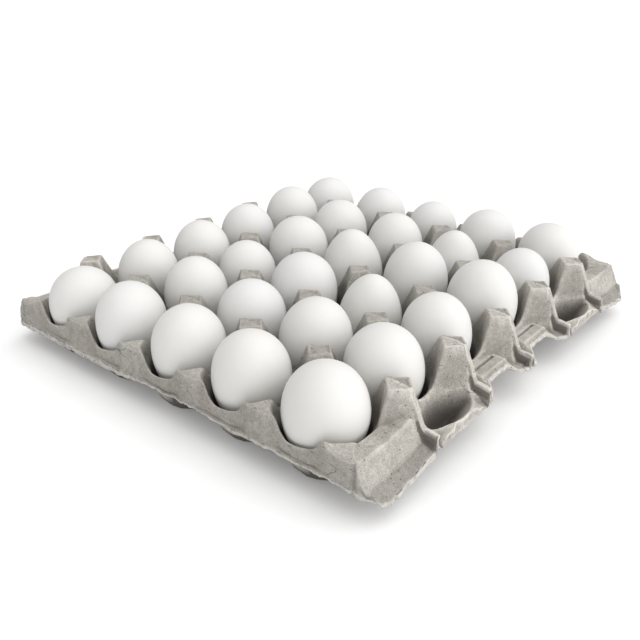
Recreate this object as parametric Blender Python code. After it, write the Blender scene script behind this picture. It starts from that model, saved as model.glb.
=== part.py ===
"""A moulded pulp tray with thirty eggs, five cups by six.

The tray is one thin shell. Each cup is a turned hollow, and where four cups
meet, the pulp that is left between them stands up as a square post. Two
opposite sides carry a strip half a cup wide, with corner panels, empty half
cups and finger notches. The tray rests on the flat floors of its cups, so
z = 0 is the table, and the origin is under the middle of the tray.
"""
import math

import bmesh
import bpy
from mathutils import Matrix, Vector

# Driving dimensions, in metres.
PITCH = 0.0476              # from one cup to the next, both ways
CUPS_X = 5
CUPS_Y = 6
WALL = 0.0020               # thickness of the pulp
POST_TOP = 0.0450           # height of the tray
END_POST_TOP = 0.0340       # the half posts along the two plain sides

HALF_PITCH = PITCH / 2
THIRD = PITCH / 3
SIXTH = PITCH / 6           # a post's top reaches this far from its middle
HALF_SIDE = 3 * PITCH       # the tray is square
STRIP_START = CUPS_X * HALF_PITCH
STRIP_WIDTH = HALF_SIDE - STRIP_START
END_POSTS_FROM = HALF_SIDE - THIRD

# The turned hollow of a cup: distance from its axis, height of the pulp.
CUP_PROFILE = (
    (0.0115, 0.0018),       # flat floor
    (0.0155, 0.0034),
    (0.0185, 0.0095),
    (0.0210, 0.0180),
    (0.0222, 0.0245),
    (0.0238, 0.0255),       # saddle between two cups
    (0.0254, 0.0285),
    (0.0285, 0.0450),       # face of a post
)

# The outer walls.
SKIRT_SLOPE = 14.0          # drop for each unit outwards
END_SKIRT = 0.0150          # lower edge of the wall, above the table
CORNER_SKIRT = 0.0120
STRIP_SKIRT = 0.0170
CORNER_RADIUS = 0.0080

# The strips, measured outwards from the last row of posts.
STRIP_ROWS = ("corner", "pocket", "notch", "notch", "pocket", "corner")
RIB_HALF_WIDTH = 0.0013
RIB_CREST = ((0.0080, 0.0445), (0.0145, 0.0265), (0.0238, 0.0250))
RIM_HEIGHT = 0.0235         # ledge outside a half cup
MOUTH_REACH = 0.0223        # where the half cup ends, in the middle of its row
MOUTH_RADIUS = 0.0260       # of the arc that its outer edge follows
MOUTH_HALF_WIDTH = 0.0188
POCKET_SIDE_SLOPE = 3.5
POCKET_SLOPE = 1.15         # its outer side slopes in like a scoop
POCKET_FLOOR = 0.0080       # a half cup is shallower than a whole one
PANEL_PROFILE = ((0.0100, 0.0290), (0.0160, 0.0175), (0.0238, 0.0140))
FOLD_RISE = 0.0045          # the panel rises this much towards the post
FOLD_LENGTH = 0.0120
NOTCH_PROFILE = ((0.0000, 0.0255), (0.0045, 0.0230), (0.0080, 0.0250), (0.0120, 0.0246), (0.0143, 0.0226))
NOTCH_FLOOR = 0.0194        # beside the block, next to the ribs
BLOCK_HALF_LENGTH = 0.0120
NOTCH_EDGE = 0.0143         # the outer edge stands in here
NOTCH_FLARE_FROM = 0.0110
NOTCH_FLARE_TO = 0.0212

# Round one of the outer posts the pulp has warped upwards.
LIFT = 0.0026
LIFT_AT = (0.1260, -0.0476)
LIFT_REACH = (0.022, 0.010)

# Grid lines of the strips, outwards and along a row from its middle.
STRIP_LINES = (0.0045, SIXTH, 0.0120, 0.0160, 0.0200, HALF_PITCH - 0.0014, HALF_PITCH)
ROW_LINES = (SIXTH, THIRD, HALF_PITCH - 2 * RIB_HALF_WIDTH, HALF_PITCH - RIB_HALF_WIDTH)
SKIRT_RUN = 0.0014

# The eggs, seen from above with the last row first, from slim (0) to stout (4)
# and from short (0) to tall (4).
EGG_GIRTHS = (
    "32033",
    "33200",
    "24334",
    "21412",
    "22334",
    "43334",
)
EGG_HEIGHTS = (
    "11022",
    "32210",
    "22344",
    "20212",
    "22122",
    "02222",
)
# How each egg leans: to one corner post (-) or the opposite one (+), or a
# little that way (<, >), or not at all (.).
EGG_LEANS = (
    "->+<-",
    "<<>.+",
    "-..>>",
    ".-<+.",
    ">>.><",
    ".....",
)
NARROW_END_UP = ((3, 4), (4, 3), (5, 4))    # row and column, counted from 1
EGG_RADIUS = (0.01870, 0.01935, 0.02000, 0.02065, 0.02130)
EGG_LENGTH = (0.0510, 0.0528, 0.0546, 0.0564, 0.0582)
EGG_TAPER = 0.10
EGG_GAP = 0.0004            # between an egg and the floor of its cup
LEAN_ANGLE = {"-": -math.radians(3.5), "<": -math.radians(1.8), ".": 0.0,
              ">": math.radians(1.8), "+": math.radians(3.5)}
LEAN_BEARING = math.radians(40)
WOBBLE = math.radians(1.0)  # and each egg tilts this much its own way
WOBBLE_TURN = 2.4
EGG_SEGMENTS = 12
EGG_RINGS = 6

PULP_COLOUR = (0.40, 0.385, 0.36, 1.0)
SHELL_COLOUR = (0.86, 0.85, 0.83, 1.0)


def new_material(name, colour, roughness):
    material = bpy.data.materials.new(name)
    material.use_nodes = True
    shader = material.node_tree.nodes["Principled BSDF"]
    shader.inputs["Base Color"].default_value = colour
    shader.inputs["Roughness"].default_value = roughness
    shader.inputs["Metallic"].default_value = 0.0
    return material


def add_object(name, mesh, material):
    mesh.materials.append(material)
    body = bpy.data.objects.new(name, mesh)
    bpy.context.scene.collection.objects.link(body)
    return body


def along(profile, distance):
    """Height on a profile of straight lines; flat before and after it."""
    if distance <= profile[0][0]:
        return profile[0][1]
    for (start, low), (end, high) in zip(profile, profile[1:]):
        if distance <= end:
            return low + (high - low) * (distance - start) / (end - start)
    return profile[-1][1]


def row_of(y):
    """Index of the row of cups at y, and the distance to its middle."""
    row = min(max(math.floor(y / PITCH) + CUPS_Y // 2, 0), CUPS_Y - 1)
    return row, y - (row - CUPS_Y / 2 + 0.5) * PITCH


def notch_edge(across):
    """How far out the edge of a finger notch stands, across its row."""
    share = (abs(across) - NOTCH_FLARE_FROM) / (NOTCH_FLARE_TO - NOTCH_FLARE_FROM)
    share = min(max(share, 0.0), 1.0)
    return NOTCH_EDGE + (STRIP_WIDTH - NOTCH_EDGE) * math.sin(share * math.pi / 2)


def panel_height(out, towards_post):
    """The corner panel: a flat top, a steep face and a gentle outer lip."""
    near = math.hypot(out, HALF_PITCH - towards_post) - THIRD
    fold = FOLD_RISE * min(max(1 - near / FOLD_LENGTH, 0.0), 1.0)
    return along(PANEL_PROFILE, out) + fold * (out <= PANEL_PROFILE[0][0])


def pocket_height(out, across):
    """The floor of a half cup, its sloping outer side and the ledge on top of that."""
    beyond_rim = out - MOUTH_REACH + across ** 2 / (2 * MOUTH_RADIUS)
    beyond = max(beyond_rim, abs(across) - MOUTH_HALF_WIDTH)
    drop = max(beyond * POCKET_SIDE_SLOPE, beyond_rim * POCKET_SLOPE)
    return max(RIM_HEIGHT + min(drop, 0.0), POCKET_FLOOR)


def notch_height(out, across):
    if abs(across) > BLOCK_HALF_LENGTH:
        return NOTCH_FLOOR
    return along(NOTCH_PROFILE, out)


def strip_height(row, out, across):
    """Top of the pulp in the side strips."""
    kind = STRIP_ROWS[row]
    if kind == "corner":
        towards_post = across if row == 0 else -across
        filling = panel_height(out, towards_post)
    elif kind == "pocket":
        filling = pocket_height(out, across)
    else:
        filling = notch_height(out, across)
    height = max(along(CUP_PROFILE, math.hypot(HALF_PITCH - out, across)), filling)
    on_rib = abs(across) > HALF_PITCH - RIB_HALF_WIDTH - 1e-6
    if on_rib:
        height = max(height, along(RIB_CREST, out))
    elif out > SIXTH + 1e-6:
        height = min(height, along(RIB_CREST, out))
    return height


def skirt_edge(row, x):
    """Lower edge of the outer wall."""
    if abs(x) < STRIP_START:
        return END_SKIRT
    return CORNER_SKIRT if STRIP_ROWS[row] == "corner" else STRIP_SKIRT


def lift(x, y):
    """How far the pulp has warped upwards round one of the outer posts."""
    away_x = (x - LIFT_AT[0]) / LIFT_REACH[0]
    away_y = (y - LIFT_AT[1]) / LIFT_REACH[1]
    return LIFT * math.exp(-(away_x ** 2 + away_y ** 2) / 2)


def top_height(x, y):
    """Top of the pulp above the table."""
    row, across = row_of(y)
    out = abs(x) - STRIP_START
    column = min(max(round(x / PITCH), -(CUPS_X // 2)), CUPS_X // 2)
    height = along(CUP_PROFILE, math.hypot(x - column * PITCH, across))
    if out > 0:
        height = min(height, strip_height(row, out, across))
    if abs(y) > END_POSTS_FROM:
        height = min(height, END_POST_TOP)
    height += lift(x, y)
    edge = HALF_SIDE
    if out > 0 and STRIP_ROWS[row] == "notch":
        edge = STRIP_START + notch_edge(across)
    inside = min(edge - abs(x), HALF_SIDE - abs(y))
    lowest = skirt_edge(row, x) + WALL
    return min(height, lowest + max(inside, 0.0) * SKIRT_SLOPE)


def under_height(x, y):
    """Underside of the pulp: the top let down by the wall in all directions."""
    lowest = top_height(x, y) - WALL
    for step in range(8):
        angle = step * math.pi / 4
        for reach in (0.6, 1.0):
            nearby = top_height(x + reach * WALL * math.cos(angle), y + reach * WALL * math.sin(angle))
            lowest = min(lowest, nearby - WALL * math.sqrt(1 - reach ** 2))
    return max(lowest, 0.0)


def placed(x, y):
    """Where a grid point lies: notches stand in, and corners are round."""
    out = abs(x) - STRIP_START
    row, across = row_of(y)
    if STRIP_ROWS[row] == "notch" and out > NOTCH_PROFILE[-2][0]:
        start = NOTCH_PROFILE[-2][0]
        share = (out - start) / (STRIP_WIDTH - start)
        out = start + share * (notch_edge(across) - start)
        return math.copysign(STRIP_START + out, x), y
    centre = HALF_SIDE - CORNER_RADIUS
    beyond_x = abs(x) - centre
    beyond_y = abs(y) - centre
    if beyond_x > 0 and beyond_y > 0:
        scale = max(beyond_x, beyond_y) / math.hypot(beyond_x, beyond_y)
        x = math.copysign(centre + beyond_x * scale, x)
        y = math.copysign(centre + beyond_y * scale, y)
    return x, y


def mirrored(values):
    return sorted({round(sign * value, 7) for value in values for sign in (-1, 1)})


def cup_lines(cups):
    """Grid lines through a row of cups: post corners, cup floors and ridges."""
    lines = []
    for cup in range(cups):
        centre = (cup - (cups - 1) / 2) * PITCH
        lines += [centre + offset for offset in (-HALF_PITCH, -THIRD, -SIXTH, SIXTH, THIRD)]
    return lines + [cups * HALF_PITCH]


def tray_columns():
    """Columns of grid points, each with its x and its own list of y."""
    ends = [HALF_SIDE - SKIRT_RUN, HALF_SIDE]
    main = mirrored([abs(y) for y in cup_lines(CUPS_Y)] + ends)
    middles = [(row + 0.5) * PITCH for row in range(CUPS_Y // 2)]
    fine = [middle + side * line for middle in middles for line in ROW_LINES for side in (-1, 1)]
    fine = mirrored([y for y in fine if y < HALF_SIDE - 2 * SKIRT_RUN] + ends)
    columns = [(x, main) for x in cup_lines(CUPS_X)]
    for out in STRIP_LINES:
        columns.append((STRIP_START + out, fine))
        columns.append((-STRIP_START - out, fine))
    return sorted(columns)


def nearer(a, b, c, d):
    """True if the fold from a to b lies nearer the real surface than c to d."""
    def miss(p, q):
        middle = top_height((p[0] + q[0]) / 2, (p[1] + q[1]) / 2)
        return abs((p[2] + q[2]) / 2 - middle)
    return miss(a, b) < miss(c, d)


def zip_columns(left, right):
    """Triangles between two columns of points, as pairs of (side, index)."""
    i, j = 0, 0
    while i < len(left) - 1 or j < len(right) - 1:
        can_left = i < len(left) - 1
        can_right = j < len(right) - 1
        if can_left and can_right:
            step_left, step_right = left[i + 1][1], right[j + 1][1]
            if abs(step_left - step_right) < SKIRT_RUN / 2:
                go_left = nearer(left[i + 1], right[j], left[i], right[j + 1])
            else:
                go_left = step_left < step_right
        else:
            go_left = can_left
        if go_left:
            yield (0, i), (1, j), (0, i + 1)
            i += 1
        else:
            yield (0, i), (1, j), (1, j + 1)
            j += 1


def tray_mesh():
    """One closed shell: the top, the underside and the edge between them."""
    shape = bmesh.new()
    tops = []
    unders = []
    points = []
    for x, ys in tray_columns():
        spots = [placed(x, y) for y in ys]
        points.append([(px, py, top_height(px, py)) for px, py in spots])
        tops.append([shape.verts.new(point) for point in points[-1]])
        unders.append([shape.verts.new((px, py, under_height(px, py))) for px, py in spots])
    for column in range(len(points) - 1):
        for triangle in zip_columns(points[column], points[column + 1]):
            shape.faces.new([tops[column + side][index] for side, index in triangle])
            shape.faces.new([unders[column + side][index] for side, index in reversed(triangle)])
    top_ring = [column[0] for column in tops] + tops[-1][1:-1]
    top_ring += [column[-1] for column in reversed(tops)] + tops[0][-2:0:-1]
    under_ring = [column[0] for column in unders] + unders[-1][1:-1]
    under_ring += [column[-1] for column in reversed(unders)] + unders[0][-2:0:-1]
    for index, corner in enumerate(top_ring):
        following = (index + 1) % len(top_ring)
        shape.faces.new((corner, under_ring[index], under_ring[following]))
        shape.faces.new((corner, under_ring[following], top_ring[following]))
    bmesh.ops.recalc_face_normals(shape, faces=shape.faces)
    mesh = bpy.data.meshes.new("tray")
    shape.to_mesh(mesh)
    shape.free()
    return mesh


def egg_mesh(name, radius, length, blunt_side):
    """A sphere drawn out to an egg, fuller towards its blunt end."""
    shape = bmesh.new()
    bmesh.ops.create_uvsphere(shape, u_segments=EGG_SEGMENTS, v_segments=EGG_RINGS, radius=1.0)
    for vertex in shape.verts:
        share = blunt_side * vertex.co.z
        width = radius * (1 + EGG_TAPER * share - EGG_TAPER / 4)
        vertex.co.x *= width
        vertex.co.y *= width
        vertex.co.z *= length / 2
    mesh = bpy.data.meshes.new(name)
    shape.to_mesh(mesh)
    shape.free()
    mesh.shade_smooth()
    return mesh


def tilt(angle, bearing):
    """The turn that leans an upright egg towards a bearing."""
    return Matrix.Rotation(angle, 3, (-math.sin(bearing), math.cos(bearing), 0))


def add_egg(row, column, material):
    """One egg stands in its cup and leans about its foot."""
    name = f"egg_{row}_{column}"
    line = CUPS_Y - row
    radius = EGG_RADIUS[int(EGG_GIRTHS[line][column - 1])]
    length = EGG_LENGTH[int(EGG_HEIGHTS[line][column - 1])]
    blunt_side = -1 if (row, column) in NARROW_END_UP else 1
    body = add_object(name, egg_mesh(name, radius, length, blunt_side), material)
    turn = tilt(LEAN_ANGLE[EGG_LEANS[line][column - 1]], LEAN_BEARING)
    turn = turn @ tilt(WOBBLE, WOBBLE_TURN * (column + CUPS_X * row))
    body.rotation_euler = turn.to_euler()
    body.location = turn @ Vector((0, 0, length / 2))
    body.location.x += (column - (CUPS_X + 1) / 2) * PITCH
    body.location.y += (row - (CUPS_Y + 1) / 2) * PITCH
    body.location.z += CUP_PROFILE[0][1] + EGG_GAP
    return body


def main():
    for leftover in list(bpy.data.objects):
        bpy.data.objects.remove(leftover, do_unlink=True)
    pulp = new_material("grey_pulp", PULP_COLOUR, 0.92)
    shell = new_material("white_eggshell", SHELL_COLOUR, 0.55)
    add_object("tray", tray_mesh(), pulp)
    for row in range(1, CUPS_Y + 1):
        for column in range(1, CUPS_X + 1):
            add_egg(row, column, shell)


main()
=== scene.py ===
# %% [markdown]
# # Thirty eggs in a tray of moulded pulp
#
# The object is a square tray, five cups by six, with an egg in every cup. The
# tray is one thin shell of grey paper pulp. The frame loaded here holds it at
# its real size as plain faceted solids. This script keeps every size and makes
# what the eye meets: the fine relief of the pulp, smooth shells and their
# finishes. Shapes are worked out in millimetres and turned into metres when a
# mesh is made, because a maker of trays thinks in millimetres.

# %% Load the fixed frame
import math

import bmesh
import bpy
import numpy as np
from mathutils import Matrix, Vector


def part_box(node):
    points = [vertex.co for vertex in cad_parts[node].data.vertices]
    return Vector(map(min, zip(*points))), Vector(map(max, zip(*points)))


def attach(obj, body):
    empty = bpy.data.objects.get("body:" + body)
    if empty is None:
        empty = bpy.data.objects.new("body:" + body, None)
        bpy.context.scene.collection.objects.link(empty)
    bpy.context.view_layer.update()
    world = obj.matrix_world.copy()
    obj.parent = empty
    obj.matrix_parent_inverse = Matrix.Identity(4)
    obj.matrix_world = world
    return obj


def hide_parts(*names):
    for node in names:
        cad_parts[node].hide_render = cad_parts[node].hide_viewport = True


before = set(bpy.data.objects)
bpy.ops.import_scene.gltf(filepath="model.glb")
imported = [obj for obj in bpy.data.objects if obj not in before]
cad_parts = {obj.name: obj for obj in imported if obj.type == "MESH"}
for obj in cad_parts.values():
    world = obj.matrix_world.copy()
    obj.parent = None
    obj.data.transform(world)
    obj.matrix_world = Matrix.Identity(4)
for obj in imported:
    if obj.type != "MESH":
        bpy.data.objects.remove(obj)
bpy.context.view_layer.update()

MM = 0.001
tray_low, tray_high = (np.array(corner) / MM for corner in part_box("tray"))


def add_object(name, data):
    """Puts a mesh, a lens or a light into the scene, at the origin."""
    thing = bpy.data.objects.new(name, data)
    bpy.context.scene.collection.objects.link(thing)
    return thing


print("tray in mm:", tray_low.round(1), "to", tray_high.round(1))

# %% [markdown]
# ## Camera
#
# The tray is seen from above its front right corner. A camera is easiest to
# place by the spot it looks at, the bearing and the height it looks from, and
# its distance, so the numbers below are those and not a bare position.

# %% Camera
CAMERA_TARGET = Vector((50.1, -69.3, 45.0)) * MM
CAMERA_BEARING = math.radians(40.27)
CAMERA_RISE = math.radians(26.54)
CAMERA_ROLL = math.radians(-0.65)
CAMERA_DISTANCE = 401.6 * MM
CAMERA_LENS = 42.34


def towards(bearing, rise):
    """The direction of something seen at a bearing from +X and a rise above the floor."""
    return Vector((math.cos(bearing) * math.cos(rise), math.sin(bearing) * math.cos(rise), math.sin(rise)))


def add_camera():
    back = towards(CAMERA_BEARING - math.pi / 2, CAMERA_RISE)
    right = towards(CAMERA_BEARING, 0.0)
    axes = Matrix((right, back.cross(right), back)).transposed() @ Matrix.Rotation(CAMERA_ROLL, 3, "Z")
    camera = add_object("camera", bpy.data.cameras.new("camera"))
    camera.data.lens = CAMERA_LENS
    camera.matrix_world = Matrix.Translation(CAMERA_TARGET + back * CAMERA_DISTANCE) @ axes.to_4x4()
    bpy.context.scene.camera = camera
    return camera


camera = add_camera()
print("camera at", [round(value, 3) for value in camera.location])

# %% [markdown]
# ## Node trees as expressions
#
# Finishes, the sky and several shapes below are node trees. Wiring nodes one by
# one hides what a tree works out, so two small classes let a tree be written
# like arithmetic. A Socket is one output of a node: adding or multiplying it
# adds the Math node that does so, and with vectors a Vector Math node. A Graph
# has one method for every other node: it takes the node's type, its settings
# and what goes into its sockets, either values or other Sockets.

# %% Sockets and graphs
class Socket:
    """One output of a node, which can be added, multiplied and so on."""

    def __init__(self, graph, output):
        self.graph = graph
        self.output = output

    def __add__(self, other):
        return self.graph.maths("ADD", self, other)

    def __radd__(self, other):
        return self.graph.maths("ADD", other, self)

    def __sub__(self, other):
        return self.graph.maths("SUBTRACT", self, other)

    def __rsub__(self, other):
        return self.graph.maths("SUBTRACT", other, self)

    def __mul__(self, other):
        return self.graph.maths("MULTIPLY", self, other)

    def __rmul__(self, other):
        return self.graph.maths("MULTIPLY", other, self)

    def __abs__(self):
        return self.graph.maths("ABSOLUTE", self)


def find(sockets, key):
    """A socket by its number, or by its identifier or name."""
    if isinstance(key, int):
        return sockets[key]
    return next(socket for socket in sockets if key in (socket.identifier, socket.name))


class Graph:
    """A node tree of any kind under construction."""

    def __init__(self, tree):
        self.tree = tree
        tree.nodes.clear()

    def node(self, kind, settings=None, inputs=None, output=0):
        """Adds a node: first its settings, then the values or links of its sockets."""
        node = self.tree.nodes.new(kind)
        for name, value in (settings or {}).items():
            setattr(node, name, value)
        for name, value in (inputs or {}).items():
            socket = find(node.inputs, name)
            if isinstance(value, Socket):
                self.tree.links.new(value.output, socket)
            else:
                socket.default_value = value
        return Socket(self, find(node.outputs, output)) if node.outputs else None

    def maths(self, operation, *values):
        """A Math node, or a Vector Math node if any of the values is a vector."""
        vectors = any(isinstance(value, Socket) and value.output.type == "VECTOR" for value in values)
        kind = "ShaderNodeVectorMath" if vectors else "ShaderNodeMath"
        return self.node(kind, {"operation": operation}, dict(enumerate(values)))

    def ease(self, value, start, end):
        """0 where the value is at start, 1 where it is at end, and smooth between."""
        return self.node("ShaderNodeMapRange", {"interpolation_type": "SMOOTHSTEP"},
                         {"Value": value, "From Min": start, "From Max": end})

    def blend(self, share, first, second):
        """The first colour where the share is 0, the second where it is 1."""
        return self.node("ShaderNodeMix", {"data_type": "RGBA"},
                         {"Factor_Float": share, "A_Color": first, "B_Color": second}, "Result_Color")

    def bump(self, height, strength, depth):
        """A bumpy normal; the depth is in mm."""
        return self.node("ShaderNodeBump", None,
                         {"Strength": strength, "Distance": depth * MM, "Height": height}, "Normal")

    def noise(self, place, size, detail=2.0):
        """Cloudy noise from 0 to 1 whose lumps are about this many mm across."""
        return self.node("ShaderNodeTexNoise", None,
                         {"Vector": place, "Scale": 1 / (size * MM), "Detail": detail})


def new_finish(name):
    """An empty material and the graph of its nodes."""
    material = bpy.data.materials.new(name)
    material.use_nodes = True
    return material, Graph(material.node_tree)


def show(graph, inputs):
    """Ends a finish in a Principled shader with these inputs."""
    shader = graph.node("ShaderNodeBsdfPrincipled", None, inputs)
    graph.node("ShaderNodeOutputMaterial", None, {"Surface": shader})


def grey(value):
    return (value, value, value, 1.0)


trial = Graph(bpy.data.node_groups.new("trial", "ShaderNodeTree"))
wired = 1.0 - trial.node("ShaderNodeValue") * 0.5
print("1 - value * 0.5 takes", len(wired.graph.tree.nodes), "nodes")
bpy.data.node_groups.remove(trial.tree)

# %% [markdown]
# ## Floor and light
#
# The tray stands on a white sweep in a white room, as small goods are lit for a
# catalogue: the floor burns out to white, and only the soft shadow round the
# foot of the tray stays. The room is brighter above than at its sides. A broad
# lamp high on the right gives the eggs their slow gradient, and a weaker one
# low on the same side brightens what faces right. Both are suns with very wide
# discs, because those light the far floor as strongly as the near floor.

# %% Floor and lights
FLOOR_SIZE = 30.0
FLOOR_WHITE = 0.82
FLOOR_GLOW = 0.17
ROOM_AT_EYE, ROOM_OVERHEAD = 0.40, 1.00
LAMPS = (
    ("high", 1.50, 90, 15, 45),         # name, strength, spread, bearing and rise in degrees
    ("low", 0.50, 69, 9, 10),
)
TONE_GAMMA = 0.85


def add_floor():
    half = FLOOR_SIZE / 2
    corners = [(-half, -half, 0), (half, -half, 0), (half, half, 0), (-half, half, 0)]
    mesh = bpy.data.meshes.new("floor")
    mesh.from_pydata(corners, [], [(0, 1, 2, 3)])
    white, graph = new_finish("floor_white")
    show(graph, {"Base Color": grey(FLOOR_WHITE), "Roughness": 0.9, "Specular IOR Level": 0.1,
                 "Emission Color": grey(1.0), "Emission Strength": FLOOR_GLOW})
    mesh.materials.append(white)
    add_object("floor", mesh)


def add_room():
    """A white world that grows brighter upwards."""
    world = bpy.data.worlds.new("studio")
    world.use_nodes = True
    graph = Graph(world.node_tree)
    direction = graph.node("ShaderNodeTexCoord", output="Generated")
    height = graph.node("ShaderNodeSeparateXYZ", None, {"Vector": direction}, "Z")
    strength = height * (ROOM_OVERHEAD - ROOM_AT_EYE) + ROOM_AT_EYE
    white = graph.node("ShaderNodeBackground", None, {"Color": grey(1.0), "Strength": strength})
    graph.node("ShaderNodeOutputWorld", None, {"Surface": white})
    bpy.context.scene.world = world


def add_lamp(name, strength, spread, bearing, rise):
    lamp = add_object("lamp_" + name, bpy.data.lights.new("lamp_" + name, "SUN"))
    lamp.data.energy = strength
    lamp.data.angle = math.radians(spread)
    direction = towards(math.radians(bearing), math.radians(rise))
    lamp.rotation_euler = direction.to_track_quat("Z", "Y").to_euler()


add_floor()
add_room()
for lamp in LAMPS:
    add_lamp(*lamp)
bpy.context.scene.view_settings.view_transform = "Standard"
bpy.context.scene.view_settings.gamma = TONE_GAMMA
print("floor", FLOOR_SIZE, "m wide, and", len(LAMPS), "lamps")

# %% [markdown]
# ## The rule of the pulp
#
# A tray is pressed from wet pulp on a mould that was turned and milled, so its
# shape follows a rule. Every cup is a turned hollow: its height depends only on
# the distance from the cup's axis. Between neighbouring cups the pulp rises to
# a saddle, and where four cups meet, what they leave standing is a post. So one
# profile, a list of distances and heights, gives cups, saddles and posts
# at once. Pulp has no sharp corners: every profile is blurred a little, and
# surfaces meet through a smooth minimum or maximum.

# %% Helpers for rounded shapes
PROFILE_STEP = 0.05


def smooth_min(a, b, ease):
    """The lower of two heights, with the corner between them rounded over ease."""
    close = np.maximum(ease - np.abs(a - b), 0.0) / ease
    return np.minimum(a, b) - close * close * ease / 4


def smooth_max(a, b, ease):
    return -smooth_min(-a, -b, ease)


def fade(value, start, end):
    """0 at start, 1 at end, and smooth on the way."""
    share = np.clip((value - start) / (end - start), 0.0, 1.0)
    return share * share * (3 - 2 * share)


def mix(a, b, share):
    return a + (b - a) * share


def blurred(padded, reach):
    """A running mean of values that were made longer by reach at both ends."""
    weights = np.hanning(2 * reach + 3)[1:-1]
    return np.convolve(padded, weights / weights.sum(), mode="valid")


def rounded_profile(points, radius):
    """A function of distance that follows straight lines with rounded corners."""
    first, last = points[0][0], points[-1][0]
    count = int((last - first) / PROFILE_STEP) + 1
    distances = np.linspace(first, last, count)
    heights = np.interp(distances, *np.array(points).T)
    reach = max(int(radius / PROFILE_STEP), 1)
    soft = blurred(np.pad(heights, reach, mode="reflect", reflect_type="odd"), reach)
    return lambda distance: np.interp(distance, distances, soft)


# %% The cup, and where each point of the tray lies in it
PITCH = (tray_high[0] - tray_low[0]) / 6
HALF = PITCH / 2
END = 3 * PITCH                 # half of the tray's side
STRIP_START = 2.5 * PITCH       # the side strips begin at the last row of posts
POST_TOP = 45.0
CREST = 0.8                     # half the width of the crests between cups
PULP = 2.0                      # thickness of the pulp
# Profiles: distance from the cup's axis, and height. Cups end more steeply at the end walls.
CUP_BOTTOM = ((0.0, 1.8), (8.0, 1.8), (13.0, 4.0), (17.5, 9.5), (20.8, 18.0))
CUP_SIDE = ((21.8, 23.6), (23.0, 25.2), (24.1, 27.2), (25.6, 35.0), (28.1, 45.0), (34.0, 68.6))
END_SIDE = ((21.5, 23.8), (22.3, 25.2), (23.3, 25.7), (24.4, 26.8), (25.0, 28.5), (26.2, 33.0),
            (28.0, 41.0), (34.0, 68.0))
END_FROM, END_FULL = END - 9.0, END - 3.5       # the end profile takes over between these
STEEP_FROM, STEEP_FULL = -8.0, 4.0              # and only on one side of each cup

cup_profile = rounded_profile(CUP_BOTTOM + CUP_SIDE, 0.5)
end_profile = rounded_profile(CUP_BOTTOM + END_SIDE, 0.45)


def place_in_tray(x, y):
    """Row of cups, distance across that row, and distance out into a strip."""
    row = np.clip(np.floor(y / PITCH) + 3, 0, 5).astype(int)
    across = y - (row - 2.5) * PITCH
    return row, across, np.abs(x) - STRIP_START


def cup_distance(x, across, out):
    """Distance from the nearest cup's axis, held level along the crests."""
    column = np.clip(np.round(x / PITCH), -2, 2)
    along = np.where(out > 0, HALF - out, np.abs(x - column * PITCH))
    along = smooth_min(along, HALF - CREST, CREST)
    return np.hypot(along, smooth_min(np.abs(across), HALF - CREST, CREST))


def cup_height(x, y, across, out):
    """Height of the cups' own surface, which stands steeper on one side of the half posts."""
    distance = cup_distance(x, across, out)
    beside = (np.round(x / PITCH) * PITCH - x) * np.sign(y)
    at_end = fade(np.abs(y), END_FROM, END_FULL) * fade(beside, STEEP_FROM, STEEP_FULL)
    return mix(cup_profile(distance), end_profile(distance), at_end)


for distance in (0, 15, 21, 23, 26, 28):
    print(f"pulp is {float(cup_profile(distance)):.1f} mm up at {distance} mm from a cup's axis")

# %% [markdown]
# ## Posts, strips and ends
#
# The posts are cut off at the top by a roof with a crease across it. Along two
# sides runs a strip half a cup wide. In its corner rows it is a folded panel, in
# the next rows an open half cup, and in the middle rows a notch for the
# fingers with a slot and a bar. Thin ribs part the rows. Along the other two
# sides the posts are cut in half and end lower. Pulp dries unevenly, so some
# posts stand a little higher than their roofs should, which is added last.

# %% Roofs of the posts
ROOF_FALL = 0.14                # the back half of each roof falls away
ROOF_FRONT = 0.06               # and the front half a little
ROOF_DISH = 0.9                 # depth of the dish in the back half
ROOF_REACH, DISH_SLANT = 8.1, 0.7
DISH_EDGE = (0.2, 1.5)
SIDE_FALL, SIDE_FALL_FROM = 0.20, 2.0       # roofs beside the strips fall outwards
LEVEL_ROOFS = -STRIP_START + 12.0           # those on the -x side are level
END_ROOF = 34.0
END_ROOF_FROM, END_ROOF_EASE = END - 16.5, 1.5
corner_roof = rounded_profile(
    ((0.0, END_ROOF), (108.0, END_ROOF), (112.5, 33.0), (117.3, 30.6), (121.0, 29.8), (150.0, 29.8)), 1.0)


def past_post(x):
    """Distance to the right of the nearest line of posts."""
    return x - (np.floor(x / PITCH) + 0.5) * PITCH


def behind_post(y):
    """Distance behind the nearest line of posts."""
    return y - np.round(y / PITCH) * PITCH


def roof(x, y):
    """Height at which the posts are cut off; the back half of each roof is dished."""
    behind = behind_post(y)
    beside = np.abs(x) - STRIP_START
    inside = np.minimum(behind, (ROOF_REACH - np.abs(past_post(x)) - behind) * DISH_SLANT)
    fall = ROOF_FALL * np.maximum(behind, 0.0) + ROOF_FRONT * np.maximum(-behind, 0.0)
    fall = fall + SIDE_FALL * np.maximum(beside - SIDE_FALL_FROM, 0.0) + ROOF_DISH * fade(inside, *DISH_EDGE)
    height = POST_TOP + np.where(x < LEVEL_ROOFS, 0.0, -fall)
    ends = fade(np.abs(y), END_ROOF_FROM - END_ROOF_EASE, END_ROOF_FROM + END_ROOF_EASE)
    return mix(height, corner_roof(np.abs(x)), ends)


# %% The three fillings of the side strips
PANEL, HALF_CUP, NOTCH = 0, 1, 2
STRIP_KINDS = np.array([PANEL, HALF_CUP, NOTCH, NOTCH, HALF_CUP, PANEL])
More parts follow.
